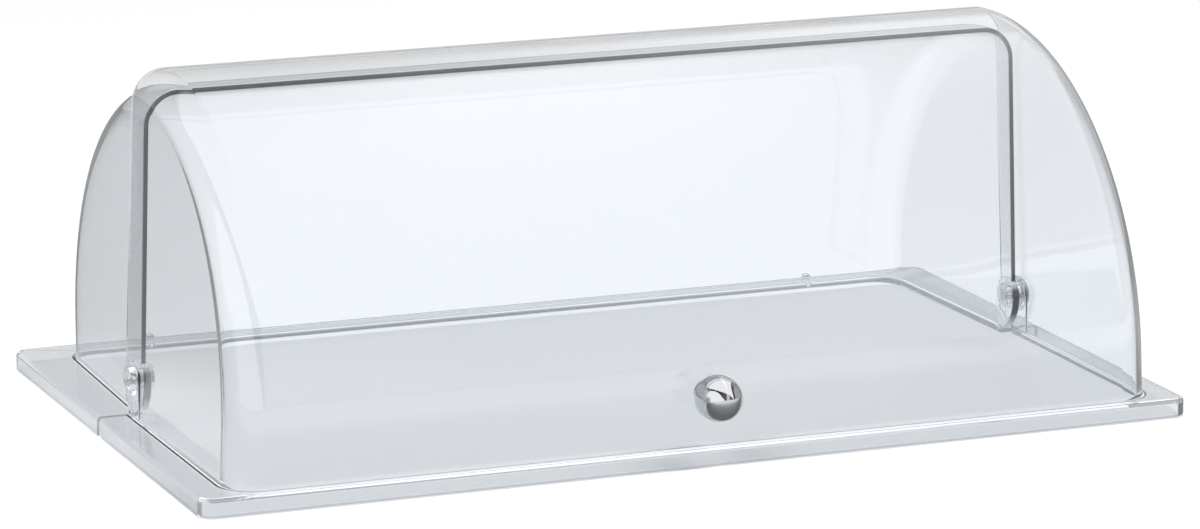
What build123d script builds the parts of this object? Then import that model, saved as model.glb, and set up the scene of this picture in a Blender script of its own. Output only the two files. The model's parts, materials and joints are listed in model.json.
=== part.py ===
from build123d import *
import os
from math import acos, asin, cos, degrees, radians, sin, sqrt

# Roll-top bread display bin for a GN 1/1 footprint: a clear fixed rear hood, a clear lid that
# rolls up over it on two side hinges, and a flat base board that the covers stand round.
# The origin is the centre of the footprint on the counter, +X along the length, +Y to the rear.

# ---- Driving dimensions, in millimetres ----
footprint_length = 530.0
footprint_depth = 325.0
footprint_corner = 8.0
sheet = 2.5                     # wall of the clear mouldings

flange_height = 10.0
flange_edge_round = 2.2
seam_round = 2.2                # fillet between a hood wall and its flange

pivot_height = 31.0
lid_front_margin = 6.8          # flange left in front of the lid
lid_side_margin = 17.5          # flange left beside the lid, at pivot height
lid_draft = 0.040               # how far the lid's side walls lean in per millimetre of height
lid_rear_overlap = 15.5         # how far the lid reaches behind the pivot
lid_flange_end = 7.0            # where the lid's flange stops behind the pivot
lid_ear_radius = 20.0
lid_open_angle = 90.5
end_relief_length = 6.0
end_relief_height = 1.4

shell_gap = 7.05                # radial room between lid and rear hood
side_gap = 1.7                  # room between their side walls at the pivot
sweep_clearance = 0.5           # least room between their side walls as the lid rolls
rear_front_lap = 3.0            # how far the rear hood reaches in front of the pivot
flange_split_gap = 2.5
corner_round = 17.5             # outer rounding where the hood skins meet the side walls
rim_round = 0.6                 # eased edges along the two hoods' facing rims

pin_radius = 3.0
running_clearance = 0.05
fixed_clearance = 0.02
pin_head_radius = 5.5
pin_head_height = 1.8
cap_radius = 9.3
cap_height = 4.0
cap_clearance = 0.2
lid_pad_half_width = 9.6
lid_pad_proud = 1.3
washer_radius = 7.5
washer_thickness = 1.3
washer_clearance = 0.2
ear_pad_half_width = 10.0
ear_pad_offset = 2.0
ear_pad_rise = 9.0
ear_pad_depth = 1.6
retainer_radius = 6.5
retainer_thickness = 2.3

board_clearance = 0.3
board_thickness = 1.6
board_edge_round = 0.5

knob_height = 36.5
knob_radius = 11.6
knob_length = 26.0
knob_neck_radius = 7.0
knob_neck_length = 3.0
knob_screw_radius = 2.5
knob_screw_grip = 11.0
knob_hole_clearance = 0.2
knob_screw_head_radius = 4.8
knob_screw_head_height = 2.8
knob_socket_width = 2.6
knob_screw_tip_gap = 0.5
gasket_radius = 6.5
gasket_thickness = 1.0
gasket_seat = 0.05
knob_washer_radius = 6.0
knob_washer_thickness = 1.0
knob_washer_seat = 0.15

stud_inset = 75.0               # each stop stud's distance from its end of the footprint
stud_radius = 2.4
stud_shank_radius = 1.5
stud_stop_gap = 0.3
stud_dome_share = 0.8           # rounding of the stud's top, as a share of its radius

# ---- Dimensions that follow ----
half_length = footprint_length / 2
half_depth = footprint_depth / 2
flange_underside = flange_height - sheet
recess_length = footprint_length - 2 * sheet
recess_depth = footprint_depth - 2 * sheet

lid_radius = half_depth - lid_front_margin
lid_half = half_length - lid_side_margin
rear_radius = lid_radius - sheet - shell_gap
rear_half = lid_half - sheet - side_gap
rear_cone = lid_draft - (side_gap - sweep_clearance) / (rear_radius - corner_round)
rear_flange_start = lid_flange_end + flange_split_gap

lid_pad_face = lid_half + lid_pad_proud
washer_seat = rear_half + washer_thickness + washer_clearance
ear_face = rear_half - sheet - ear_pad_depth
ear_front = ear_pad_offset - ear_pad_half_width
cap_seat = lid_pad_face + cap_clearance
pin_tip = ear_face - retainer_thickness

# The knob's axis stands square to the lid's skin at knob_height.
knob_angle = asin((knob_height - pivot_height) / lid_radius)
knob_seat = Plane(
    origin=(0, -lid_radius * cos(knob_angle), knob_height),
    x_dir=(1, 0, 0),
    z_dir=(0, -cos(knob_angle), sin(knob_angle)),
)
knob_base = gasket_seat + gasket_thickness
knob_back = -(sheet + knob_washer_seat)

# With the lid rolled back, its rear edge hangs over the stop studs.
stud_spread = half_length - stud_inset
past_upright = radians(lid_open_angle - 90)
edge_drop = lid_rear_overlap * cos(past_upright) + lid_radius * sin(past_upright)
stud_top = pivot_height - edge_drop - stud_stop_gap
stud_y = lid_radius - sheet / 2

reach = footprint_length        # longer than any cut has to be
hair = 0.01                     # tolerance for finding faces and edges by position


def footprint_block(length, depth, corner, height):
    """Rounded slab on the counter, the size of the footprint or of the recess under it."""
    with BuildPart() as block:
        with BuildSketch():
            RectangleRounded(length, depth, corner)
        extrude(amount=height)
    return block.part


def flange_block():
    """Solid footprint slab with its upper edge eased."""
    with BuildPart() as block:
        add(footprint_block(footprint_length, footprint_depth, footprint_corner, flange_height))
        fillet(block.faces().sort_by(Axis.Z)[-1].edges(), flange_edge_round)
    return block.part


def lid_mass(radius, half, corner, floor_z):
    """Solid quarter drum of the lid, with side walls that lean in as they rise."""
    top_z = pivot_height + radius
    past_crown = degrees(asin(lid_rear_overlap / radius))
    with BuildPart() as mass:
        with BuildSketch(Plane.YZ):
            with BuildLine():
                Line((-radius, floor_z), (-radius, pivot_height))
                crown = CenterArc((0, pivot_height), radius, 180, -(90 + past_crown))
                Polyline(crown @ 1, (lid_rear_overlap, floor_z), (-radius, floor_z))
            make_face()
        extrude(amount=half_length, both=True)
        foot_half = half + lid_draft * (pivot_height - floor_z)
        head_half = half - lid_draft * radius
        with BuildSketch(Plane.XZ):
            with BuildLine():
                Polyline(
                    (-foot_half, floor_z),
                    (foot_half, floor_z),
                    (head_half, top_z),
                    (-head_half, top_z),
                    close=True,
                )
            make_face()
        extrude(amount=reach, both=True, mode=Mode.INTERSECT)
        walls = mass.faces().sort_by(Axis.X)
        corners = (walls[0].edges() + walls[-1].edges()).filter_by(
            lambda edge: edge.center().Y < lid_rear_overlap - sheet and edge.center().Z > floor_z + sheet
        )
        fillet(corners, corner)
    return mass.part


def half_section(plane, radius, half, corner):
    """Half of the rear hood's outline from its pivot axis out to its skin."""
    with BuildSketch(plane) as section:
        with BuildLine():
            Polyline((0, 0), (half, 0), (half - rear_cone * radius, radius), (0, radius), close=True)
        make_face()
        fillet(section.vertices().group_by(Axis.X)[-2], corner)
    return section.sketch


def rear_mass(radius, half, corner, floor_z):
    """Solid quarter drum of the rear hood, with side walls turned about the pivot axis."""
    upright = Plane(origin=(0, 0, pivot_height), x_dir=(1, 0, 0), z_dir=(0, -1, 0))
    level = Plane(origin=(0, 0, pivot_height), x_dir=(1, 0, 0), z_dir=(0, 0, 1))
    crown_section = half_section(upright, radius, half, corner)
    foot_section = half_section(level, radius, half, corner)
    with BuildPart() as mass:
        revolve(crown_section, axis=Axis((0, 0, pivot_height), (-1, 0, 0)), revolution_arc=90)
        extrude(crown_section, amount=rear_front_lap)
        extrude(foot_section, amount=floor_z - pivot_height)
        mirror(about=Plane.YZ)
    return mass.part


def seam_edges(body, half):
    """Edges where a hood's walls stand on the top of the flange."""
    on_top = body.edges().filter_by_position(Axis.Z, flange_height - hair, flange_height + hair)
    return on_top.filter_by(
        lambda edge: abs(edge.center().X) < half + sheet
        and abs(edge.center().Y) < half_depth - flange_edge_round - hair
    )


def ease_rim(body, rim_y):
    """Round both edges of a hood's rim, from one ear over the crown to the other."""
    rim = body.faces().filter_by_position(Axis.Y, rim_y - hair, rim_y + hair)
    fillet(rim.edges().filter_by(lambda edge: edge.center().Z > pivot_height + lid_ear_radius), rim_round)


# ---- Rear hood: fixed moulding with its flange, hinge ears and stud holes ----
with BuildPart() as rear_hood:
    add(flange_block())
    add(rear_mass(rear_radius, rear_half, corner_round, flange_underside))
    fillet(seam_edges(rear_hood, rear_half).filter_by(lambda edge: edge.center().Y > sheet), seam_round)
    add(
        footprint_block(recess_length, recess_depth, footprint_corner - sheet, flange_underside),
        mode=Mode.SUBTRACT,
    )
    add(
        rear_mass(rear_radius - sheet, rear_half - sheet, corner_round - sheet, -sheet),
        mode=Mode.SUBTRACT,
    )
    for side in (-1, 1):
        with BuildSketch(Plane.YZ.offset(side * ear_face)):
            pad_centre = pivot_height + ear_pad_rise - ear_pad_half_width
            with Locations((ear_pad_offset, pad_centre)):
                Circle(ear_pad_half_width)
            with Locations((ear_pad_offset, (pad_centre + flange_underside) / 2)):
                Rectangle(2 * ear_pad_half_width, pad_centre - flange_underside)
        extrude(amount=side * (rear_half - ear_face))
    with BuildSketch(Plane.YZ):
        with BuildLine():
            TangentArc((ear_front, pivot_height), (rear_flange_start, flange_height), tangent=(0, -1))
            Polyline(
                (rear_flange_start, flange_height),
                (rear_flange_start, -sheet),
                (-footprint_depth, -sheet),
                (-footprint_depth, pivot_height),
                (ear_front, pivot_height),
            )
        make_face()
    extrude(amount=reach, both=True, mode=Mode.SUBTRACT)
    ease_rim(rear_hood, -rear_front_lap)
    with Locations(Plane(origin=(0, 0, pivot_height), z_dir=(1, 0, 0))):
        Cylinder(pin_radius + fixed_clearance, footprint_length, mode=Mode.SUBTRACT)
    with Locations((-stud_spread, stud_y, flange_height), (stud_spread, stud_y, flange_height)):
        Hole(stud_shank_radius + fixed_clearance, depth=sheet)

# ---- Front lid: rolling moulding with its flange and hinge pads ----
with BuildPart() as front_lid:
    add(flange_block())
    add(lid_mass(lid_radius, lid_half, corner_round, flange_underside))
    fillet(seam_edges(front_lid, lid_half).filter_by(lambda edge: edge.center().Y < sheet), seam_round)
    add(
        footprint_block(recess_length, recess_depth, footprint_corner - sheet, flange_underside),
        mode=Mode.SUBTRACT,
    )
    add(
        lid_mass(lid_radius - sheet, lid_half - sheet, corner_round - sheet, -sheet),
        mode=Mode.SUBTRACT,
    )
    for side in (-1, 1):
        with BuildSketch(Plane.YZ.offset(side * (lid_half - sheet / 2))):
            with Locations((0, pivot_height)):
                Circle(lid_pad_half_width)
            with Locations((0, (pivot_height + flange_underside) / 2)):
                Rectangle(2 * lid_pad_half_width, pivot_height - flange_underside)
        extrude(amount=side * (lid_pad_face - lid_half + sheet / 2))
        with BuildSketch(Plane.YZ.offset(side * washer_seat)):
            with Locations((0, pivot_height)):
                Circle(washer_radius)
        extrude(amount=side * (lid_half - washer_seat))
    with BuildSketch(Plane.YZ):
        with Locations((lid_flange_end, -sheet)):
            Rectangle(reach, reach, align=(Align.MIN, Align.MIN))
        with Locations((lid_flange_end, pivot_height)):
            Rectangle(
                lid_rear_overlap - lid_flange_end,
                reach,
                align=(Align.MIN, Align.MIN),
                mode=Mode.SUBTRACT,
            )
        with Locations((0, pivot_height)):
            Circle(lid_ear_radius, mode=Mode.SUBTRACT)
    extrude(amount=reach, both=True, mode=Mode.SUBTRACT)
    with BuildSketch(Plane.YZ):
        with BuildLine():
            Polyline(
                (lid_flange_end - end_relief_length, 0),
                (lid_flange_end, 0),
                (lid_flange_end, end_relief_height),
                close=True,
            )
        make_face()
    extrude(amount=reach, both=True, mode=Mode.SUBTRACT)
    ease_rim(front_lid, lid_rear_overlap)
    with Locations(Plane(origin=(0, 0, pivot_height), z_dir=(1, 0, 0))):
        Cylinder(pin_radius + running_clearance, footprint_length, mode=Mode.SUBTRACT)
    with Locations(knob_seat):
        Hole(knob_screw_radius + knob_hole_clearance, depth=2 * sheet)


# ---- Base board: flat pale board that the skirts of both covers stand round ----
board_length = recess_length - 2 * board_clearance
board_depth = recess_depth - 2 * board_clearance
board_corner = footprint_corner - sheet - board_clearance

with BuildPart() as base_board:
    add(footprint_block(board_length, board_depth, board_corner, board_thickness))
    fillet(base_board.faces().sort_by(Axis.Z)[-1].edges(), board_edge_round)


# ---- Hinges: a headed pin, its domed cap, a spacer washer and an inner retainer on each side ----
def hinge_plane(side, distance):
    """Plane across the pivot axis, at a distance from the middle, facing outwards."""
    return Plane(origin=(side * distance, 0, pivot_height), x_dir=(0, side, 0), z_dir=(side, 0, 0))


def hinge_pin(side):
    """Headed pin through the ear of the rear hood and the wall of the lid."""
    with BuildPart() as pin:
        with BuildSketch(hinge_plane(side, pin_tip)):
            Circle(pin_radius)
        extrude(amount=cap_seat - pin_tip)
        with BuildSketch(hinge_plane(side, cap_seat)):
            Circle(pin_head_radius)
        extrude(amount=pin_head_height)
        fillet(pin.faces().filter_by(Axis.X).sort_by(Axis.X)[-1 if side > 0 else 0].edges(), pin_head_height / 3)
    return pin.part


def hinge_cap(side):
    """Clear domed cap snapped over the head of the pin."""
    bowl_radius = pin_head_radius + fixed_clearance
    bowl_height = pin_head_height + fixed_clearance
    dome_radius = (cap_radius**2 + cap_height**2) / (2 * cap_height)
    with BuildPart() as cap:
        with BuildSketch(hinge_plane(side, cap_seat)):
            Circle(cap_radius)
        extrude(amount=cap_height)
        with Locations(hinge_plane(side, cap_seat + cap_height - dome_radius)):
            Sphere(dome_radius, mode=Mode.INTERSECT)
        with BuildSketch(hinge_plane(side, cap_seat)):
            Circle(bowl_radius)
        extrude(amount=bowl_height, mode=Mode.SUBTRACT)
    return cap.part


def hinge_washer(side):
    """Spacer between the ear of the rear hood and the wall of the lid."""
    with BuildPart() as washer:
        with BuildSketch(hinge_plane(side, rear_half)):
            Circle(washer_radius)
            Circle(pin_radius + running_clearance, mode=Mode.SUBTRACT)
        extrude(amount=washer_thickness)
    return washer.part


def hinge_retainer(side):
    """Push-on ring that holds the pin from inside the rear hood."""
    with BuildPart() as retainer:
        with BuildSketch(hinge_plane(side, pin_tip)):
            Circle(retainer_radius)
            Circle(pin_radius + fixed_clearance, mode=Mode.SUBTRACT)
        extrude(amount=retainer_thickness)
        inner_face = retainer.faces().filter_by(Axis.X).sort_by(Axis.X)[0 if side > 0 else -1]
        fillet(inner_face.edges().sort_by(SortBy.RADIUS)[-1], retainer_thickness / 3)
    return retainer.part


hinge_parts = {}
for side, hand in ((-1, "left"), (1, "right")):
    hinge_parts[f"hinge_pin_{hand}"] = hinge_pin(side)
    hinge_parts[f"hinge_cap_{hand}"] = hinge_cap(side)
    hinge_parts[f"hinge_washer_{hand}"] = hinge_washer(side)
    hinge_parts[f"hinge_retainer_{hand}"] = hinge_retainer(side)


# ---- Knob on the lid: gasket and knob outside, washer and screw inside ----
with BuildPart() as knob:
    turning = Plane(
        origin=knob_seat.from_local_coords((0, 0, knob_base)),
        x_dir=(1, 0, 0),
        z_dir=knob_seat.y_dir * -1,
    )
    neck_turn = degrees(acos(knob_neck_radius / knob_radius))
    belly_height = knob_neck_length + sqrt(knob_radius**2 - knob_neck_radius**2)
    with BuildSketch(turning):
        with BuildLine():
            Polyline((0, 0), (knob_neck_radius, 0), (knob_neck_radius, knob_neck_length))
            CenterArc((0, belly_height), knob_radius, -neck_turn, neck_turn)
            nose = Spline((knob_radius, belly_height), (0, knob_length), tangents=[(0, 1), (-1, 0)])
            Line(nose @ 1, (0, 0))
        make_face()
    revolve(axis=Axis(knob_seat.origin, knob_seat.z_dir))
    with Locations(knob_seat.offset(knob_base + knob_screw_grip / 2)):
        Cylinder(knob_screw_radius + fixed_clearance, knob_screw_grip, mode=Mode.SUBTRACT)

screw_start = knob_back - knob_washer_thickness
screw_length = knob_base + knob_screw_grip - knob_screw_tip_gap - screw_start

with BuildPart() as knob_gasket:
    with BuildSketch(knob_seat.offset(gasket_seat)):
        Circle(gasket_radius)
        Circle(knob_screw_radius + knob_hole_clearance, mode=Mode.SUBTRACT)
    extrude(amount=gasket_thickness)

with BuildPart() as knob_washer:
    with BuildSketch(knob_seat.offset(screw_start)):
        Circle(knob_washer_radius)
        Circle(knob_screw_radius + knob_hole_clearance, mode=Mode.SUBTRACT)
    extrude(amount=knob_washer_thickness)

with BuildPart() as knob_screw:
    with BuildSketch(knob_seat.offset(screw_start)):
        Circle(knob_screw_radius)
    extrude(amount=screw_length)
    with BuildSketch(knob_seat.offset(screw_start)):
        Circle(knob_screw_head_radius)
    extrude(amount=-knob_screw_head_height)
    head_face = knob_screw.faces().sort_by(Axis(knob_seat.origin, knob_seat.z_dir))[0]
    fillet(head_face.edges(), knob_screw_head_height / 2)
    with BuildSketch(knob_seat.offset(screw_start - knob_screw_head_height)):
        RegularPolygon(knob_socket_width / 2, 6, major_radius=False)
    extrude(amount=knob_screw_head_height / 2, mode=Mode.SUBTRACT)


# ---- Stop studs: bumpers in the rear flange that carry the opened lid ----
def stop_stud(side):
    """Domed bumper with a shank pushed into the rear flange."""
    height = stud_top - flange_height
    with BuildPart() as stud:
        with BuildSketch(Plane(origin=(side * stud_spread, stud_y, flange_underside))):
            Circle(stud_shank_radius)
        extrude(amount=sheet)
        with BuildSketch(Plane(origin=(side * stud_spread, stud_y, flange_height))):
            Circle(stud_radius)
        extrude(amount=height)
        fillet(stud.faces().sort_by(Axis.Z)[-1].edges(), min(stud_radius, height) * stud_dome_share)
    return stud.part


pieces = {
    "rear_hood": rear_hood.part,
    "front_lid": front_lid.part,
    "base_board": base_board.part,
    "knob": knob.part,
    "knob_gasket": knob_gasket.part,
    "knob_washer": knob_washer.part,
    "knob_screw": knob_screw.part,
    "stop_stud_left": stop_stud(-1),
    "stop_stud_right": stop_stud(1),
}
pieces.update(hinge_parts)

os.makedirs("parts", exist_ok=True)
for name, piece in pieces.items():
    piece.label = name
    export_step(piece, f"parts/{name}.step")
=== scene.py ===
"""Looks of the clear roll-top bread display bin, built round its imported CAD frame."""
import json
from math import acos, asin, atan, cos, hypot, pi, radians, sin, sqrt

import bmesh
import bpy
from mathutils import Matrix, Vector

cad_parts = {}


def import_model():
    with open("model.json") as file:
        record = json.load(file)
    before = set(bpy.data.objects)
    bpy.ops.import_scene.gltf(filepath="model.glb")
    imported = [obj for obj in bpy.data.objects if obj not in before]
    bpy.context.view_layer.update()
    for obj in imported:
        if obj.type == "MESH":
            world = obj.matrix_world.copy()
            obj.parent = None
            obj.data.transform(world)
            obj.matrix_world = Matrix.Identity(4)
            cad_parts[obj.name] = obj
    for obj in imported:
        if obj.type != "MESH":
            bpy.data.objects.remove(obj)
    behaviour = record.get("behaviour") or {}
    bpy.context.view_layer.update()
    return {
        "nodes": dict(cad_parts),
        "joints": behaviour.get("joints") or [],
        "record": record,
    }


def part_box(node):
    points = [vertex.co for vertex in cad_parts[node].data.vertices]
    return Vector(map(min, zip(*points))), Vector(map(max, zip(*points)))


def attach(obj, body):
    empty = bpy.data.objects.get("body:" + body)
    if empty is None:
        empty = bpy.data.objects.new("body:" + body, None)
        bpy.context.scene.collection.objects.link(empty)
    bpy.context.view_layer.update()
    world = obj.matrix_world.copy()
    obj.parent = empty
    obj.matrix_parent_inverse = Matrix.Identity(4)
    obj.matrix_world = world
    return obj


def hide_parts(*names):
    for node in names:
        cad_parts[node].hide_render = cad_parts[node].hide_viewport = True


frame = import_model()
nodes = frame["nodes"]

# ---- Camera: the photograph's viewpoint ----
IMAGE_WIDTH = 1200
CAMERA_PLACE = Vector((-1.0582, -2.6503, 0.7304))
CAMERA_YAW = radians(21.863)        # turned right of straight ahead
CAMERA_PITCH = radians(13.064)      # tilted down
FOCAL_LENGTH = 5648.7               # in pixels of the 1200 px wide frame
SENSOR_WIDTH = 36.0
CLIP_START = 0.05

# ---- Stage ----
# A (low, high) pair is the stretch over which something changes. A (middle, reach, fade) is a
# place: all of it lies within reach of the middle, and it has faded out by fade more.
FLOOR_HALF = 6.0                    # half the floor's side
FLOOR_DEPTH = 0.0003                # the floor lies this far under the base
FLOOR_SHADE = 0.55                  # its own colour
FLOOR_GLOW = 0.56                   # added where the floor is seen, to make it white paper
SKY_LIGHT = 0.6                     # the world's light on surfaces

# The floor in reflections, by its x and y.
FLOOR_EDGE = (-0.46, -0.29)         # y from the open floor in front to the floor near the object
FLOOR_EDGE_SHADES = (0.95, 0.44)
FLOOR_SHADOW = (0.0, 0.35)          # y over which it darkens further
FLOOR_SHADOW_DEPTH = 0.10
FLOOR_LIT_ACROSS = (-0.27, 0.02, 0.10)   # x and y of a lighter place beside the left wall
FLOOR_LIT_ALONG = (0.05, 0.05, 0.13)
FLOOR_LIT_LEVEL = 0.46
FLOOR_FRONT_SHADOW_ACROSS = (-0.30, -0.22)      # x where a painted shadow close in front begins, a darker band, and its y
FLOOR_FRONT_SHADOW_ALONG = (-0.18, 0.01, 0.11)
FLOOR_FRONT_SHADOW_DEPTH = 0.24

# The studio in reflections, by a ray's direction: x to the right, y backwards and z up.
STUDIO_DIM = 0.14                   # its dark ceiling
WALL_WHITE = 0.50                   # its pale walls
WALL_FADE = (0.45, 0.75)            # z from walls to ceiling
WALL_LIT_ACROSS = (0.32, 0.40)      # x, y and z from which the back wall is brighter
WALL_LIT_ALONG = (0.5, 0.65)
WALL_LIT_RISE = (0.24, 0.34)
WALL_LIT_LEVEL = 0.40
SIDE_START = (0.79, 0.80)           # x where the right side begins, which is pale up to the top
SIDE_GREY = 0.30
FLAG = (0.745, 0.04, 0.01)          # x of a dark upright at the front right
FLAG_END = (-0.1, 0.1)              # y where it ends
FLAG_LEVEL = 0.12                   # share of the wall's light that it keeps
PANEL_WHITE = 1.25                  # the two softboxes overhead
PANEL_HOT = 0.45                    # what their brightest streak adds
PANEL_HOT_ACROSS = (0.355, 0.015, 0.06)  # x of the streak
PANEL_HOT_ALONG = (-0.70, 0.15)     # y over which it brightens
PANEL_LEFT_END = (0.15, 0.30)       # y where the left softbox ends
PANEL_RIGHT_END = (0.66, 0.70)      # x where the right softbox ends
PANEL_BACK_SLOPE = 1.1              # it also ends at the back, where y is this many times z
PANEL_BACK_END = (0.0, 0.10)        # how far past that it fades out
PANEL_FAR_LEFT = (-0.97, -0.94)     # x left of which both softboxes stop above the horizon
PANEL_FAR_LEFT_RISE = (0.20, 0.30)  # z where they stop there
GAP_NORMAL = (0.730, 0.350, 0.587)  # the dark gap between the softboxes lies square to this
GAP_RISE = (0.3, 0.85)              # z from the gap's low end to overhead
GAP_WIDTHS = (0.20, 0.04)           # its half widths at those
GAP_EDGE = (1.0, 1.25)              # half widths from its middle to the softboxes
GAP_VEIL = (0.365, 0.055, 0.06)     # x where the gap is fainter
GAP_VEIL_LEVEL = 0.5
GAP_FRONT_END = (-0.1, 0.1)         # y in front of which the wall in the gap is darker
GAP_FRONT_DEPTH = 0.75              # share of its light that it loses there

# Lamps by name, place and power in watts, all aimed at one place.
LAMPS = (("softbox_left", (-1.6, -1.2, 1.9), 22), ("softbox_right", (1.2, -1.0, 2.1), 16))
LAMP_TARGET = (0, 0, 0.05)
LAMP_SIDE = 1.4
LIGHT_BOUNCES = 20
GLOSSY_BOUNCES = 16                 # light is led many times from face to face inside a sheet


# ---- Node helpers ----
class Nodes:
    """Short calls for building one node tree."""

    def __init__(self, tree):
        self.tree = tree
        tree.nodes.clear()

    def add(self, kind, **inputs):
        """A node with its inputs set by name, with _ for a space."""
        node = self.tree.nodes.new(kind)
        for name, value in inputs.items():
            self.put(node, name.replace("_", " "), value)
        return node

    def put(self, node, name, value):
        """Sets an input, or joins it where value is another node's output."""
        socket = node.inputs[name]
        if isinstance(value, bpy.types.NodeSocket):
            self.tree.links.new(value, socket)
        else:
            socket.default_value = value

    def math(self, operation, a, b=0.0):
        """Where the operation takes one value, b is left out."""
        node = self.tree.nodes.new("ShaderNodeMath")
        node.operation = operation
        self.put(node, 0, a)
        self.put(node, 1, b)
        return node.outputs[0]

    def ramp(self, factor, low, high, out_low, out_high):
        """Maps factor from low..high onto out_low..out_high."""
        node = self.tree.nodes.new("ShaderNodeMapRange")
        for name, value in zip(("Value", "From Min", "From Max", "To Min", "To Max"),
                               (factor, low, high, out_low, out_high)):
            self.put(node, name, value)
        return node.outputs["Result"]

    def colour_mix(self, factor, first, second):
        """Mixes two colours; a Mix node's inputs 6 and 7 and output 2 are its colours."""
        node = self.tree.nodes.new("ShaderNodeMix")
        node.data_type = "RGBA"
        self.put(node, 0, factor)
        self.put(node, 6, (*first, 1.0))
        self.put(node, 7, (*second, 1.0))
        return node.outputs[2]

    def mix(self, factor, first, second):
        """Mixes two shaders."""
        node = self.tree.nodes.new("ShaderNodeMixShader")
        self.put(node, 0, factor)
        self.tree.links.new(first, node.inputs[1])
        self.tree.links.new(second, node.inputs[2])
        return node.outputs[0]

    def parts(self, vector):
        """x, y and z of a vector."""
        node = self.tree.nodes.new("ShaderNodeSeparateXYZ")
        self.put(node, 0, vector)
        return node.outputs

    def near(self, value, middle, reach, fade):
        """1 where value lies within reach of middle, falling to 0 over fade."""
        off = self.math("ABSOLUTE", self.math("SUBTRACT", value, middle))
        return self.ramp(off, reach, reach + fade, 1.0, 0.0)

    def noise(self, scale, detail, roughness=0.5, vector=None):
        """Noise in the object's own coordinates, or in the vector's."""
        node = self.add("ShaderNodeTexNoise", Scale=scale, Detail=detail, Roughness=roughness)
        self.put(node, "Vector", vector or self.place())
        return node.outputs["Fac"]

    def place(self, stretch=(1, 1, 1)):
        """The object's own coordinates, each times its stretch."""
        coordinates = self.tree.nodes.new("ShaderNodeTexCoord").outputs["Object"]
        mapping = self.tree.nodes.new("ShaderNodeMapping")
        mapping.inputs["Scale"].default_value = stretch
        self.tree.links.new(coordinates, mapping.inputs["Vector"])
        return mapping.outputs["Vector"]

    def bump(self, height, distance, strength):
        node = self.add("ShaderNodeBump", Strength=strength, Distance=distance, Height=height)
        return node.outputs["Normal"]

    def surface(self, shader, volume=None):
        """Ends the tree in a material's output."""
        output = self.tree.nodes.new("ShaderNodeOutputMaterial")
        self.tree.links.new(shader, output.inputs["Surface"])
        if volume is not None:
            self.tree.links.new(volume, output.inputs["Volume"])


def new_material(name):
    """A new material, and its node tree to build."""
    material = bpy.data.materials.new(name)
    material.use_nodes = True
    return material, Nodes(material.node_tree)


def see_through(n, shader, tint, leak_depth):
    """Lets lamp light, bounced light and light led far inside a sheet through its faces."""
    path = n.tree.nodes.new("ShaderNodeLightPath")
    plain = n.add("ShaderNodeBsdfTransparent", Color=(*tint, 1.0)).outputs[0]
    pass_by = n.math("MAXIMUM", path.outputs["Is Shadow Ray"], path.outputs["Is Diffuse Ray"])
    led_far = n.math("GREATER_THAN", path.outputs["Glossy Depth"], leak_depth)
    return n.mix(n.math("MAXIMUM", pass_by, led_far), shader, plain)


# ---- Materials ----
LEAK_DEPTH = 2.5                    # light leaves a cover after as many inner reflections
NO_LEAK = 99.5                      # more reflections than a ray makes
GRAIN = (0.3, 0.7)                  # the stretch of noise levels that a fine grain uses

COVER_IOR = 1.585
COVER_COLOUR = (0.915, 0.934, 0.954)
COVER_PASS = (0.985, 0.988, 0.991)  # what each face leaves of light that goes straight through
COVER_DEPTH = (0.62, 0.74, 0.86)    # tint that its thickness gives
COVER_DENSITY = 6.0                 # how fast, per metre
COVER_ROUGHNESS = (0.0, 0.035)      # from clean to smeared
SMEARS = (0.45, 0.75)               # noise levels of the smears
WIPES = (0.4, 0.7)                  # noise levels of the wipe marks in them
WIPED = 0.3                         # share of a smear that is left where it is wiped
RIM = (0.0, 0.011, 0.001)           # y of the cut edges that carry painted shade, a dark line
RIM_FACING = (0.6, 0.9)             # their normals' size along y
RIM_FOOT = (0.010, 0.011)           # height under which they belong to the flanges
RIM_FOOT_SHADE = 0.5                 # how much of the painted shade they keep there
CREASE = (0.01014, 0.00012, 0.00001)  # height of the painted shade, a dark line in the crease at the walls' foot
CREASE_FACING = (0.5, 0.8)          # its normals' size upwards
CREASE_TURN = (0.05, 0.25)          # their size along y, from the sides to the front and back
CREASE_FRONT = 0.5                  # share of the crease that is left at the front and back
PAINTED_SHADE_COLOUR = (0.012, 0.013, 0.015)        # colour of the painted shade
# roughness that the painted shade adds
PAINTED_SHADE_ROUGHNESS = 0.4

SMALL_IOR = 1.52                    # for the small clear fittings
SMALL_PASS = (0.95, 0.955, 0.96)
SMALL_SPREAD = (0.6, 1.4)           # their roughness over the grain, as shares of its mean

BOARD_CLOUDS = (0.35, 0.65)
BOARD_COLOURS = ((0.86, 0.875, 0.895), (0.885, 0.90, 0.915))
BOARD_ROUGHNESS = (0.42, 0.58)

CHROME_MARKS = (0.35, 0.75)
CHROME_COLOURS = ((0.62, 0.63, 0.65), (0.68, 0.69, 0.70))
CHROME_ROUGHNESS = (0.015, 0.05)

STEEL_COLOURS = ((0.55, 0.56, 0.58), (0.68, 0.69, 0.71))
STEEL_ROUGHNESS = (0.16, 0.32)


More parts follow.
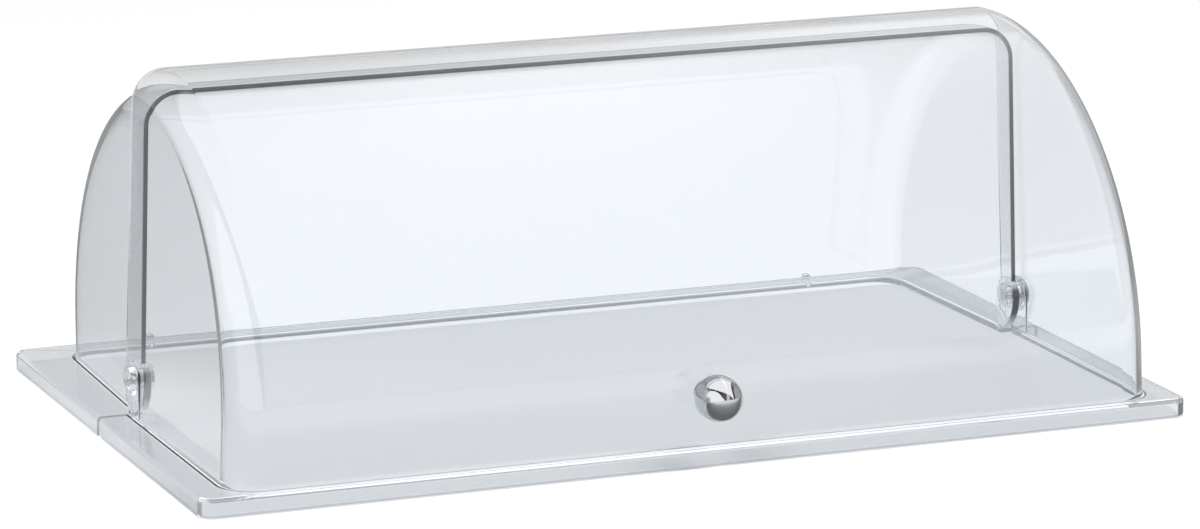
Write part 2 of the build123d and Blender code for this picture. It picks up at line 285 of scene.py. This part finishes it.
def clear_cover():
    """Polished clear polycarbonate with faint flow waves and fine wipe marks; its cut edges and the
    crease at the walls' foot carry painted shade as dark opaque lines.
    """
    material, n = new_material("clear_cover")
    waves = n.noise(scale=14.0, detail=1.0)
    wipes = n.noise(scale=220.0, detail=4.0, vector=n.place((1.0, 0.25, 0.25)))
    smears = n.noise(scale=9.0, detail=4.0, roughness=0.6)
    rough = n.math("MULTIPLY", n.ramp(smears, *SMEARS, 0.0, 1.0), n.ramp(wipes, *WIPES, WIPED, 1.0))
    _, y, z = n.parts(n.place())
    _, facing_y, facing_z = n.parts(n.tree.nodes.new("ShaderNodeTexCoord").outputs["Normal"])
    facing_y = n.math("ABSOLUTE", facing_y)
    # Painted shade: the cut edges that face along y are painted into a dark line, weaker on the
    # flanges.
    rim = n.math("MULTIPLY", n.near(y, *RIM), n.ramp(facing_y, *RIM_FACING, 0.0, 1.0))
    rim = n.math("MULTIPLY", rim, n.ramp(z, *RIM_FOOT, RIM_FOOT_SHADE, 1.0))
    # Painted shade: a dark line painted in the crease at the walls' foot, weaker at the front and
    # back.
    crease = n.math("MULTIPLY", n.near(z, *CREASE), n.ramp(facing_z, *CREASE_FACING, 0.0, 1.0))
    crease = n.math("MULTIPLY", crease, n.ramp(facing_y, *CREASE_TURN, 1.0, CREASE_FRONT))
    # Where the painted shade lies, the sheet turns dark, opaque and rougher.
    painted_shade = n.math("MAXIMUM", rim, crease)
    smeared = n.ramp(rough, 0.0, 1.0, *COVER_ROUGHNESS)
    glass = n.add(
        "ShaderNodeBsdfPrincipled",
        IOR=COVER_IOR,
        Transmission_Weight=n.math("SUBTRACT", 1.0, painted_shade),
        Roughness=n.math("ADD", smeared, n.math("MULTIPLY", painted_shade, PAINTED_SHADE_ROUGHNESS)),
        Normal=n.bump(waves, distance=0.0004, strength=0.3),
    )
    n.put(glass, "Base Color", n.colour_mix(painted_shade, COVER_COLOUR, PAINTED_SHADE_COLOUR))
    tint = n.add("ShaderNodeVolumeAbsorption", Color=(*COVER_DEPTH, 1.0), Density=COVER_DENSITY)
    n.surface(see_through(n, glass.outputs[0], COVER_PASS, LEAK_DEPTH), tint.outputs[0])
    return material


def clear_small(name, roughness, tint):
    """Clear moulded fitting, a little duller than the covers."""
    material, n = new_material(name)
    grain = n.noise(scale=900.0, detail=2.0)
    roughness_range = [roughness * share for share in SMALL_SPREAD]
    glass = n.add(
        "ShaderNodeBsdfPrincipled",
        IOR=SMALL_IOR,
        Transmission_Weight=1.0,
        Roughness=n.ramp(grain, *GRAIN, *roughness_range),
        Normal=n.bump(grain, distance=0.00004, strength=0.3),
    )
    glass.inputs["Base Color"].default_value = (*tint, 1.0)
    n.surface(see_through(n, glass.outputs[0], SMALL_PASS, NO_LEAK))
    return material


def board_plastic():
    """Pale grey satin plastic with a fine moulded grain and soft clouding."""
    material, n = new_material("board_plastic")
    clouds = n.noise(scale=5.0, detail=3.0)
    grain = n.noise(scale=1400.0, detail=2.0)
    plastic = n.add(
        "ShaderNodeBsdfPrincipled",
        Roughness=n.ramp(grain, *GRAIN, *BOARD_ROUGHNESS),
        Normal=n.bump(grain, distance=0.00006, strength=0.5),
    )
    clouded = n.ramp(clouds, *BOARD_CLOUDS, 0.0, 1.0)
    n.put(plastic, "Base Color", n.colour_mix(clouded, *BOARD_COLOURS))
    n.surface(plastic.outputs[0])
    return material


def polished_chrome():
    """Mirror chrome with the faintest polishing marks."""
    material, n = new_material("polished_chrome")
    marks = n.noise(scale=500.0, detail=4.0, vector=n.place((1.0, 0.1, 1.0)))
    chrome = n.add(
        "ShaderNodeBsdfPrincipled",
        Metallic=1.0,
        Roughness=n.ramp(marks, *CHROME_MARKS, *CHROME_ROUGHNESS),
        Normal=n.bump(marks, distance=0.00001, strength=0.15),
    )
    n.put(chrome, "Base Color", n.colour_mix(marks, *CHROME_COLOURS))
    n.surface(chrome.outputs[0])
    return material


def bright_steel():
    """Machined stainless steel with turning marks."""
    material, n = new_material("bright_steel")
    turning = n.noise(scale=1200.0, detail=3.0, vector=n.place((4.0, 0.4, 0.4)))
    steel = n.add(
        "ShaderNodeBsdfPrincipled",
        Metallic=1.0,
        Roughness=n.ramp(turning, *GRAIN, *STEEL_ROUGHNESS),
        Normal=n.bump(turning, distance=0.00002, strength=0.4),
    )
    n.put(steel, "Base Color", n.colour_mix(turning, *STEEL_COLOURS))
    n.surface(steel.outputs[0])
    return material


# ---- Hood meshes: finer than the frame's, on the same surfaces, with moulded edges ----
SHEET = 0.0025                      # the wall's thickness
FLANGE_HEIGHT = 0.010
FOOTPRINT_CORNER = 0.008            # radius of the flange's corners, seen from above
EDGE_ROUND = 0.0022                 # radius along the flange's upper edge
SEAM_ROUND = 0.0022                 # fillet at the walls' foot, outside and inside
INNER_ROUND = 0.0006
CORNER_ROUND = 0.0175               # radius where the side walls meet the drum
LID_SIDE_MARGIN = 0.0175            # from the footprint's end to the lid's side wall
LID_DRAFT = 0.040                   # lean of its side walls
LID_FLANGE_END = 0.007              # y where its flange ends
LID_EAR_RADIUS = 0.020              # round the pivot
LID_PAD_HALF_WIDTH = 0.0096
LID_PAD_PROUD = 0.0013
REAR_FLANGE_START = 0.0095          # y where the rear hood's flange begins
REAR_FRONT_LAP = 0.003              # its drum reaches this far in front of the pivot
SIDE_GAP = 0.0017                   # between the hoods' side walls at the pivot
SWEEP_CLEARANCE = 0.0005            # what is left of it while the lid rolls
EAR_PAD_CENTRE = (0.002, 0.030)
EAR_PAD_HALF_WIDTH = 0.010
EAR_PAD_DEPTH = 0.0016
LID_BORE_RADIUS = 0.00305
REAR_BORE_RADIUS = 0.00302
KNOB_HEIGHT = 0.0365
KNOB_HOLE_RADIUS = 0.0027
STUD_SPREAD = 0.190
STUD_Y = 0.15445
STUD_HOLE_RADIUS = 0.00152
END_RELIEF = ((0.001, 0.0), (0.007, 0.0014))  # (y, z) ends of the slope under the lid's skirt
WELD = 0.000002                     # points this near each other become one
HAIR = 0.00001                      # keeps faces that nearly coincide apart
MOULD_EDGE = 0.00035                # radius left on every crisp edge
MOULD_STEPS = 2
CRISP = radians(40)                 # an edge is crisp where it turns more than this
CORNER_STEPS = 14
FAN_STEPS = 60
LAP_STEPS = 5                       # over the lid's skin behind the pivot
ROUND_STEPS = 4
CIRCLE_STEPS = 64
EAR_STEPS = 6                       # down the lid ear's rear edge to its pad
EAR_FOOT_STEPS = 3                  # and from there to the flange

PIVOT = Vector(frame["joints"][0]["pos_m"])
LID_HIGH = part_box("front_lid")[1]
REAR_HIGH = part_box("rear_hood")[1]
LID_RADIUS = LID_HIGH.z - PIVOT.z
REAR_RADIUS = REAR_HIGH.z - PIVOT.z
HALF_LENGTH = LID_HIGH.x
HALF_DEPTH = REAR_HIGH.y
WALL_START = FLANGE_HEIGHT + SEAM_ROUND
LID_HALF = HALF_LENGTH - LID_SIDE_MARGIN
REAR_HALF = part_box("hinge_washer_right")[0].x
REAR_CONE = LID_DRAFT - (SIDE_GAP - SWEEP_CLEARANCE) / (REAR_RADIUS - CORNER_ROUND)


def even(first, last, steps):
    """steps + 1 values from first to last."""
    return [first + (last - first) * i / steps for i in range(steps + 1)]


class Station:
    """A line over a hood, in the plane through place (y, z) along outward (dy, dz).

    It runs up one side wall, half from the middle and leaning in, across the skin at rise from
    the place, and down the other.
    """

    def __init__(self, place, outward, rise, half, lean):
        self.place, self.outward = place, outward
        self.rise, self.half, self.lean = rise, half, lean

    def at(self, x, distance):
        """The point at x, that distance outward from the place."""
        (y, z), (out_y, out_z) = self.place, self.outward
        return Vector((x, y + out_y * distance, z + out_z * distance))

    def points(self, corner):
        """From the left wall's end of the corner, over the skin, to the right wall's."""
        centre_distance = self.rise - corner
        centre_x = self.half - self.lean * centre_distance - corner * hypot(1, self.lean)
        turns = even(atan(self.lean), pi / 2, CORNER_STEPS)
        arc = [(centre_x + corner * cos(turn), centre_distance + corner * sin(turn))
               for turn in turns]
        return [self.at(-x, d) for x, d in arc] + [self.at(x, d) for x, d in reversed(arc)]

    def with_ends(self, corner, end):
        """The same line with a straight run along both sides, as far as distance end."""
        x = self.half - self.lean * end
        return [self.at(-x, end), *self.points(corner), self.at(x, end)]


class Shell:
    """A closed shell put together from rows of points, welded where they meet."""

    def __init__(self):
        self.mesh = bmesh.new()

    def face(self, points):
        self.mesh.faces.new([self.mesh.verts.new(point) for point in points])

    def rows(self, *lines):
        """Quads between each line of points and the next."""
        for low, high in zip(lines, lines[1:]):
            for i in range(len(low) - 1):
                self.face((low[i], low[i + 1], high[i + 1], high[i]))

    def finish(self, name):
        """The shell as a new object of that name."""
        bmesh.ops.remove_doubles(self.mesh, verts=self.mesh.verts, dist=WELD)
        bmesh.ops.recalc_face_normals(self.mesh, faces=self.mesh.faces)
        data = bpy.data.meshes.new(name)
        self.mesh.to_mesh(data)
        self.mesh.free()
        piece = bpy.data.objects.new(name, data)
        bpy.context.collection.objects.link(piece)
        return piece


def quarter(radius):
    """(inwards, upwards) steps round a quarter circle, from upright to level."""
    return [(radius * (1 - cos(turn)), radius * sin(turn)) for turn in even(0, pi / 2, ROUND_STEPS)]


def flange_lines(outward, half, rise, lean, end):
    """Outer and inner lines of the skirt and flange, up to where the walls begin.

    outward is -1 for the front and 1 for the back. half(z), rise and lean place the wall's outer
    face, and end is the distance where the lines' side runs end.
    """
    def line(half_here, rise_here, lean_here, corner, z):
        return Station((0, z), (outward, 0), rise_here, half_here, lean_here).with_ends(corner, end)

    outer = [line(HALF_LENGTH, HALF_DEPTH, 0, FOOTPRINT_CORNER, 0)]
    for inward, up in quarter(EDGE_ROUND):
        outer.append(line(HALF_LENGTH - inward, HALF_DEPTH - inward, 0, FOOTPRINT_CORNER - inward,
                          FLANGE_HEIGHT - EDGE_ROUND + up))
    for up, out in quarter(SEAM_ROUND):
        grow = SEAM_ROUND - out
        z = FLANGE_HEIGHT + up
        outer.append(line(half(z) + grow, rise + grow, lean, CORNER_ROUND + grow, z))
    inner = [
        line(HALF_LENGTH - SHEET, HALF_DEPTH - SHEET, 0, FOOTPRINT_CORNER - SHEET, z)
        for z in (0, FLANGE_HEIGHT - SHEET)
    ]
    for up, out in quarter(INNER_ROUND):
        grow = INNER_ROUND - out - SHEET
        z = FLANGE_HEIGHT - SHEET + up
        inner.append(line(half(z) + grow, rise + grow, lean, CORNER_ROUND + grow, z))
    inner.append(line(half(WALL_START) - SHEET, rise - SHEET, lean, CORNER_ROUND - SHEET,
                      WALL_START))
    return outer, inner


def extruded(shell, outline, x_from, x_to):
    """A closed prism of a (y, z) outline between two values of x."""
    ends = [[Vector((x, y, z)) for y, z in outline] for x in (x_from, x_to)]
    shell.rows(*[end + end[:1] for end in ends])
    for end in ends:
        shell.face(end)


def drill(shell, start, end, radius):
    """A closed cylinder between two points."""
    along = end - start
    across = along.orthogonal().normalized()
    up = along.cross(across).normalized()
    spokes = [(across * cos(turn) + up * sin(turn)) * radius
              for turn in even(0, 2 * pi, CIRCLE_STEPS)]
    rings = [[centre + spoke for spoke in spokes] for centre in (start, end)]
    shell.rows(*rings)
    for ring in rings:
        shell.face(ring[:-1])


def circle(centre, radius, first=0.0, last=2 * pi, steps=CIRCLE_STEPS):
    """(y, z) points round a centre, from one turn to another."""
    return [(centre[0] + radius * cos(turn), centre[1] + radius * sin(turn))
            for turn in even(first, last, steps)]


def combine(piece, tool, operation):
    """Joins the tool to the piece or cuts it away, and drops the tool."""
    modifier = piece.modifiers.new("combine", "BOOLEAN")
    modifier.solver = "EXACT"
    modifier.operation = operation
    modifier.object = tool
    settle(piece)
    bpy.data.objects.remove(tool)


def settle(piece):
    """Turns a piece's modifiers into its mesh."""
    bpy.context.view_layer.update()
    shaped = piece.evaluated_get(bpy.context.evaluated_depsgraph_get())
    data = bpy.data.meshes.new_from_object(shaped)
    piece.modifiers.clear()
    piece.data = data


def split_dented(data):
    """Splits four-sided faces with a dented outline on their short diagonal."""
    mesh = bmesh.new()
    mesh.from_mesh(data)
    dented = [face for face in mesh.faces
              if len(face.verts) == 4 and not all(corner.is_convex for corner in face.loops)]
    bmesh.ops.triangulate(mesh, faces=dented, quad_method="SHORT_EDGE")
    mesh.to_mesh(data)
    mesh.free()


def mould_edges(piece):
    """Small radii on every crisp edge, and normals that keep the flats flat."""
    piece.data.shade_smooth()
    bevel = piece.modifiers.new("edges", "BEVEL")
    bevel.width = MOULD_EDGE
    bevel.segments = MOULD_STEPS
    bevel.limit_method = "ANGLE"
    bevel.angle_limit = CRISP
    bevel.use_clamp_overlap = False
    settle(piece)
    split_dented(piece.data)
    piece.modifiers.new("normals", "WEIGHTED_NORMAL")
    settle(piece)


def ear_arc(y_from, y_to, steps):
    """(y, z) points down the round rear edge of the lid's ear."""
    return circle((0, PIVOT.z), LID_EAR_RADIUS, -acos(y_from / LID_EAR_RADIUS),
                  -acos(y_to / LID_EAR_RADIUS), steps)


LID_EAR_FOOT = ear_arc(LID_PAD_HALF_WIDTH, LID_FLANGE_END, EAR_FOOT_STEPS)[:-1]
LID_EAR_FOOT += [(LID_FLANGE_END, WALL_START)]


def lid_shell():
    """Shell of the rolling lid: skirt, flange, leaning side walls and the quarter drum."""
    shell = Shell()

    def half(z):
        """Half the length between the side walls' outer faces at a height."""
        return LID_HALF + LID_DRAFT * (PIVOT.z - z)

    outer, inner = flange_lines(-1, half, LID_RADIUS, 0, -LID_FLANGE_END)
    shell.rows(*outer)
    shell.rows(*inner)
    shell.rows(outer[0], inner[0])

    def over(offset):
        """Lines over the lid, from the base of its walls to its rear rim."""
        radius = LID_RADIUS - offset
        corner = CORNER_ROUND - offset
        stations = [Station((0, WALL_START), (-1, 0), radius, half(WALL_START) - offset, 0)]
        for turn in even(0, pi / 2, FAN_STEPS):
            stations.append(Station((0, PIVOT.z), (-cos(turn), sin(turn)), radius,
                                    LID_HALF - offset, LID_DRAFT * sin(turn)))
        for y in even(0, LID_HIGH.y, LAP_STEPS)[1:]:
            stations.append(Station((y, PIVOT.z), (0, 1), sqrt(radius**2 - y**2),
                                    LID_HALF - offset, LID_DRAFT))
        return [station.points(corner) for station in stations]

    skins = [over(0), over(SHEET)]
    for lines in skins:
        shell.rows(*lines)
    shell.rows(skins[0][-1], skins[1][-1])

    ear = ear_arc(LID_HIGH.y, LID_PAD_HALF_WIDTH, EAR_STEPS)[:-1] + LID_EAR_FOOT
    for side in (-1, 1):
        end = 0 if side < 0 else -1
        rims = [[Vector((side * (half(z) - offset), y, z)) for y, z in ear]
                for offset in (0, SHEET)]
        walls = [[line[end] for line in lines] for lines in skins]
        shell.face(walls[0] + rims[0])
        shell.face(walls[1] + rims[1])
        shell.rows([walls[0][-1]] + rims[0], [walls[1][-1]] + rims[1])
        shell.face([line[end] for line in outer] + [line[end] for line in reversed(inner)])
    return shell.finish("clear_lid")


def rear_shell():
    """Shell of the fixed rear hood: skirt, flange, side walls turned about the pivot and drum."""
    shell = Shell()
    outer, inner = flange_lines(1, lambda z: REAR_HALF, REAR_RADIUS, REAR_CONE, REAR_FLANGE_START)
    shell.rows(*outer)
    shell.rows(*inner)
    shell.rows(outer[0], inner[0])

    def over(offset):
        """Lines over the hood, from the base of its walls to its front rim."""
        sizes = REAR_RADIUS - offset, REAR_HALF - offset, REAR_CONE
        stations = [Station((0, WALL_START), (1, 0), *sizes)]
        for turn in even(0, pi / 2, FAN_STEPS):
            stations.append(Station((0, PIVOT.z), (cos(turn), sin(turn)), *sizes))
        stations.append(Station((-REAR_FRONT_LAP, PIVOT.z), (0, 1), *sizes))
        return [station.points(CORNER_ROUND - offset) for station in stations]

    skins = [over(0), over(SHEET)]
    for lines in skins:
        shell.rows(*lines)
    shell.rows(skins[0][-1], skins[1][-1])

    for side in (-1, 1):
        end = 0 if side < 0 else -1
        walls = [[line[end] for line in lines] for lines in skins]
        foot_half = REAR_HALF - REAR_CONE * REAR_FLANGE_START
        pivots, fronts, feet = [
            [Vector((side * (half - offset), y, z)) for offset in (0, SHEET)]
            for half, y, z in ((REAR_HALF, 0, PIVOT.z), (REAR_HALF, -REAR_FRONT_LAP, PIVOT.z),
                               (foot_half, REAR_FLANGE_START, WALL_START))
        ]
        for wall, pivot, front, foot in zip(walls, pivots, fronts, feet):
            for low, high in zip(wall[1:-2], wall[2:-1]):
                shell.face((pivot, low, high))
            shell.face((pivot, wall[-2], wall[-1], front))
        shell.face((walls[0][0], walls[0][1], pivots[0], feet[0]))
        shell.face((walls[1][0], walls[1][1], pivots[1], feet[1]))
        shell.rows(*[(wall[-1], front, pivot, foot) for wall, front, pivot, foot in
                     zip(walls, fronts, pivots, feet)])
        shell.face([line[end] for line in outer] + [line[end] for line in reversed(inner)])
    return shell.finish("clear_rear_hood")


def front_lid_piece():
    """The lid: its shell with the hinge pads and bosses, bores, knob hole and end relief."""
    lid = lid_shell()
    mid_flange = FLANGE_HEIGHT - SHEET / 2
    width = LID_PAD_HALF_WIDTH
    pad = circle((0, PIVOT.z), width, 0, pi, CIRCLE_STEPS // 2)
    pad += [(-width, mid_flange), (LID_FLANGE_END, mid_flange), *reversed(LID_EAR_FOOT)]
    washer_low, washer_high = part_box("hinge_washer_right")
    boss = circle((0, PIVOT.z), (washer_high.z - washer_low.z) / 2)[:-1]
    adders = Shell()
    for side in (-1, 1):
        extruded(adders, pad, side * (LID_HALF - SHEET / 2), side * (LID_HALF + LID_PAD_PROUD))
    combine(lid, adders.finish("adders"), "UNION")
    bosses = Shell()
    for side in (-1, 1):
        extruded(bosses, boss, side * (washer_high.x + SWEEP_CLEARANCE / 2),
                 side * (LID_HALF - SHEET / 3))
    combine(lid, bosses.finish("bosses"), "UNION")
    cutters = Shell()
    for side in (-1, 1):
        drill(cutters, Vector((side * (REAR_HALF - SHEET), 0, PIVOT.z)),
              Vector((side * HALF_LENGTH, 0, PIVOT.z)), LID_BORE_RADIUS)
    tilt = asin((KNOB_HEIGHT - PIVOT.z) / LID_RADIUS)
    outward = Vector((0, -cos(tilt), sin(tilt)))
    drill(cutters, PIVOT + outward * (LID_RADIUS - 2 * SHEET),
          PIVOT + outward * (LID_RADIUS + SHEET), KNOB_HOLE_RADIUS)
    (low_y, low_z), (high_y, high_z) = END_RELIEF
    slope = (high_z - low_z) / (high_y - low_y)
    bottom, top = low_z - SHEET * slope, high_z + SHEET * slope
    wedge = [(low_y - SHEET, bottom), (high_y + SHEET, bottom), (high_y + SHEET, top)]
    extruded(cutters, wedge, -HALF_LENGTH - SHEET, HALF_LENGTH + SHEET)
    combine(lid, cutters.finish("cutters"), "DIFFERENCE")
    return lid


def rear_hood_piece():
    """The rear hood: its shell with the inner hinge pads, bores and stud holes."""
    hood = rear_shell()
    centre_y = EAR_PAD_CENTRE[0]
    front, back = centre_y - EAR_PAD_HALF_WIDTH, centre_y + EAR_PAD_HALF_WIDTH
    mid_flange = FLANGE_HEIGHT - SHEET / 2
    across, down = REAR_FLANGE_START - front, PIVOT.z - FLANGE_HEIGHT
    sweep = (across**2 + down**2) / (2 * across)
    foot = asin(down / sweep)
    pad = circle(EAR_PAD_CENTRE, EAR_PAD_HALF_WIDTH, 0, pi, CIRCLE_STEPS // 2)
    pad += circle((front + sweep, PIVOT.z), sweep, pi, pi + foot, CIRCLE_STEPS // 4)[1:]
    pad += [(REAR_FLANGE_START, mid_flange), (back, mid_flange)]
    adders = Shell()
    for side in (-1, 1):
        extruded(adders, pad, side * (REAR_HALF - SHEET - EAR_PAD_DEPTH), side * (REAR_HALF - HAIR))
    combine(hood, adders.finish("adders"), "UNION")
    cutters = Shell()
    for side in (-1, 1):
        drill(cutters, Vector((side * (REAR_HALF - 4 * SHEET), 0, PIVOT.z)),
              Vector((side * HALF_LENGTH, 0, PIVOT.z)), REAR_BORE_RADIUS)
        drill(cutters, Vector((side * STUD_SPREAD, STUD_Y, FLANGE_HEIGHT - 2 * SHEET)),
              Vector((side * STUD_SPREAD, STUD_Y, FLANGE_HEIGHT + SHEET)), STUD_HOLE_RADIUS)
    combine(hood, cutters.finish("cutters"), "DIFFERENCE")
    return hood


# ---- Finishes and pieces ----
finishes = {
    "clear_cover": clear_cover(),
    "clear_cap": clear_small("clear_cap", roughness=0.06, tint=(0.95, 0.965, 0.98)),
    "clear_stop": clear_small("clear_stop", roughness=0.10, tint=(0.94, 0.955, 0.97)),
    "clear_gasket": clear_small("clear_gasket", roughness=0.25, tint=(0.9, 0.92, 0.94)),
    "board_plastic": board_plastic(),
    "polished_chrome": polished_chrome(),
    "bright_steel": bright_steel(),
}
slot_of = {row["node"]: row["material_slot"] for row in frame["record"]["subparts"]}
for name, node in nodes.items():
    for slot in node.material_slots:
        slot.material = finishes[slot_of[name]]

for make, name, body in ((front_lid_piece, "front_lid", "lid"),
                         (rear_hood_piece, "rear_hood", "cover_base")):
    piece = make()
    mould_edges(piece)
    piece.data.materials.clear()
    piece.data.materials.append(finishes["clear_cover"])
    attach(piece, body)
    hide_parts(name)


# ---- Stage: floor, light and camera ----
def seen_straight(n):
    """Two masks: rays from the camera with no mirror between, and rays that were mirrored.

    Light that a surface scatters after a mirror is in neither.
    """
    path = n.tree.nodes.new("ShaderNodeLightPath")
    scattered = n.math("SUBTRACT", 1.0, path.outputs["Is Diffuse Ray"])
    mirrored = n.math("MULTIPLY", n.math("MINIMUM", path.outputs["Glossy Depth"], 1.0), scattered)
    straight = n.math("MAXIMUM", path.outputs["Is Camera Ray"], path.outputs["Is Transmission Ray"])
    return n.math("MULTIPLY", straight, n.math("SUBTRACT", 1.0, mirrored)), mirrored


def floor():
    """White paper for straight rays, greyer in reflections, with the object's shadow."""
    mesh = bpy.data.meshes.new("floor")
    corners = [(x * FLOOR_HALF, y * FLOOR_HALF, -FLOOR_DEPTH)
               for x, y in ((-1, -1), (1, -1), (1, 1), (-1, 1))]
    mesh.from_pydata(corners, [], [(0, 1, 2, 3)])
    plane = bpy.data.objects.new("floor", mesh)
    bpy.context.collection.objects.link(plane)
    material, n = new_material("floor")
    straight, mirrored = seen_straight(n)
    across, along, _ = n.parts(n.place())
    dimmed = n.math("SUBTRACT", n.ramp(along, *FLOOR_EDGE, *FLOOR_EDGE_SHADES),
                    n.ramp(along, *FLOOR_SHADOW, 0.0, FLOOR_SHADOW_DEPTH))
    patch = n.math("MULTIPLY", n.near(across, *FLOOR_LIT_ACROSS), n.near(along, *FLOOR_LIT_ALONG))
    dimmed = n.math("ADD", dimmed, n.math("MULTIPLY", patch, FLOOR_LIT_LEVEL))
    # Painted shadow of the object: a darker band on the floor close in front, in reflections.
    front = n.math("MULTIPLY", n.near(along, *FLOOR_FRONT_SHADOW_ALONG),
                   n.ramp(across, *FLOOR_FRONT_SHADOW_ACROSS, 0.0, 1.0))
    dimmed = n.math("SUBTRACT", dimmed, n.math("MULTIPLY", front, FLOOR_FRONT_SHADOW_DEPTH))
    shade = n.math("MULTIPLY", mirrored, n.math("SUBTRACT", dimmed, FLOOR_SHADE))
    shade = n.math("ADD", shade, FLOOR_SHADE)
    paper = n.tree.nodes.new("ShaderNodeBsdfDiffuse")
    grey = n.tree.nodes.new("ShaderNodeCombineColor")
    for channel in ("Red", "Green", "Blue"):
        n.put(grey, channel, shade)
    n.put(paper, "Color", grey.outputs[0])
    glow = n.add("ShaderNodeEmission", Color=(1, 1, 1, 1),
                 Strength=n.math("MULTIPLY", straight, FLOOR_GLOW))
    join = n.tree.nodes.new("ShaderNodeAddShader")
    n.tree.links.new(paper.outputs[0], join.inputs[0])
    n.tree.links.new(glow.outputs[0], join.inputs[1])
    n.surface(join.outputs[0])
    mesh.materials.append(material)


def studio_level(n, direction):
    """Level of the studio in reflections at a direction: walls, ceiling and two softboxes."""
    x, y, z = n.parts(direction)

    wall = n.ramp(z, *WALL_FADE, WALL_WHITE, STUDIO_DIM)
    back = n.math("MULTIPLY", n.ramp(y, *WALL_LIT_ALONG, 0.0, WALL_LIT_LEVEL),
                  n.ramp(z, *WALL_LIT_RISE, 0.0, 1.0))
    wall = n.math("ADD", wall, n.math("MULTIPLY", back, n.ramp(x, *WALL_LIT_ACROSS, 0.0, 1.0)))
    wall = n.math("MAXIMUM", wall, n.ramp(x, *SIDE_START, 0.0, SIDE_GREY))
    flag = n.math("MULTIPLY", n.near(x, *FLAG), n.ramp(y, *FLAG_END, 1.0, 0.0))
    wall = n.math("MULTIPLY", wall, n.ramp(flag, 0.0, 1.0, 1.0, FLAG_LEVEL))

    square = n.tree.nodes.new("ShaderNodeVectorMath")
    square.operation = "DOT_PRODUCT"
    n.put(square, 0, direction)
    n.put(square, 1, GAP_NORMAL)
    off_gap = square.outputs["Value"]
    widths = n.math("DIVIDE", n.math("ABSOLUTE", off_gap), n.ramp(z, *GAP_RISE, *GAP_WIDTHS))
    veil = n.math("MULTIPLY", n.near(x, *GAP_VEIL), GAP_VEIL_LEVEL)
    outside_gap = n.math("MAXIMUM", n.ramp(widths, *GAP_EDGE, 0.0, 1.0), veil)
    front_gap = n.math("MULTIPLY", n.math("SUBTRACT", 1.0, outside_gap),
                       n.ramp(y, *GAP_FRONT_END, GAP_FRONT_DEPTH, 0.0))
    wall = n.math("MULTIPLY", wall, n.math("SUBTRACT", 1.0, front_gap))

    behind = n.math("SUBTRACT", y, n.math("MULTIPLY", z, PANEL_BACK_SLOPE))
    right = n.math("MULTIPLY", n.ramp(x, *PANEL_RIGHT_END, 1.0, 0.0),
                   n.ramp(behind, *PANEL_BACK_END, 1.0, 0.0))
    left = n.ramp(y, *PANEL_LEFT_END, 1.0, 0.0)
    is_right = n.math("GREATER_THAN", off_gap, 0.0)
    shape = n.math("ADD", left, n.math("MULTIPLY", is_right, n.math("SUBTRACT", right, left)))
    far_left = n.math("MAXIMUM", n.ramp(x, *PANEL_FAR_LEFT, 0.0, 1.0),
                      n.ramp(z, *PANEL_FAR_LEFT_RISE, 0.0, 1.0))
    lit = n.math("MULTIPLY", n.math("MULTIPLY", outside_gap, shape), far_left)
    hot = n.math("MULTIPLY", n.near(x, *PANEL_HOT_ACROSS),
                 n.ramp(y, *PANEL_HOT_ALONG, 0.0, PANEL_HOT))
    above_wall = n.math("SUBTRACT", n.math("ADD", hot, PANEL_WHITE), wall)
    return n.math("ADD", wall, n.math("MULTIPLY", lit, above_wall))


def world():
    """White all round for straight rays; a dim studio with overhead softboxes in reflections."""
    sky = bpy.data.worlds.new("studio")
    bpy.context.scene.world = sky
    sky.use_nodes = True
    n = Nodes(sky.node_tree)
    straight, mirrored = seen_straight(n)
    studio = studio_level(n, n.tree.nodes.new("ShaderNodeTexCoord").outputs["Generated"])
    level = n.math("ADD", n.math("MULTIPLY", mirrored, studio),
                   n.math("MULTIPLY", n.math("SUBTRACT", 1.0, mirrored), SKY_LIGHT))
    level = n.math("ADD", level, n.math("MULTIPLY", straight, 1.0 - SKY_LIGHT))
    background = n.add("ShaderNodeBackground", Color=(1, 1, 1, 1), Strength=level)
    output = n.tree.nodes.new("ShaderNodeOutputWorld")
    n.tree.links.new(background.outputs[0], output.inputs["Surface"])


def softbox(name, place, power):
    """Soft lamp that lights the scene; reflections show the world's softboxes instead."""
    lamp = bpy.data.lights.new(name, "AREA")
    lamp.shape = "RECTANGLE"
    lamp.size = lamp.size_y = LAMP_SIDE
    lamp.energy = power
    light = bpy.data.objects.new(name, lamp)
    light.location = place
    aim = Vector(LAMP_TARGET) - Vector(place)
    light.rotation_euler = aim.to_track_quat("-Z", "Y").to_euler()
    light.visible_glossy = False
    light.visible_transmission = False
    bpy.context.collection.objects.link(light)


def camera():
    """The photograph's camera."""
    data = bpy.data.cameras.new("camera")
    data.sensor_width = SENSOR_WIDTH
    data.sensor_fit = "HORIZONTAL"
    data.lens = FOCAL_LENGTH / IMAGE_WIDTH * SENSOR_WIDTH
    data.clip_start = CLIP_START
    eye = bpy.data.objects.new("camera", data)
    forward = Vector((sin(CAMERA_YAW) * cos(CAMERA_PITCH), cos(CAMERA_YAW) * cos(CAMERA_PITCH),
                      -sin(CAMERA_PITCH)))
    right = Vector((cos(CAMERA_YAW), -sin(CAMERA_YAW), 0.0))
    turn = Matrix((right, right.cross(forward), -forward)).transposed()
    eye.matrix_world = Matrix.Translation(CAMERA_PLACE) @ turn.to_4x4()
    bpy.context.collection.objects.link(eye)
    bpy.context.scene.camera = eye


floor()
world()
for lamp_name, lamp_place, lamp_power in LAMPS:
    softbox(lamp_name, lamp_place, lamp_power)
camera()
bpy.context.scene.view_settings.view_transform = "Standard"
light_paths = bpy.context.scene.cycles
light_paths.max_bounces = LIGHT_BOUNCES
light_paths.glossy_bounces = GLOSSY_BOUNCES
light_paths.transmission_bounces = LIGHT_BOUNCES
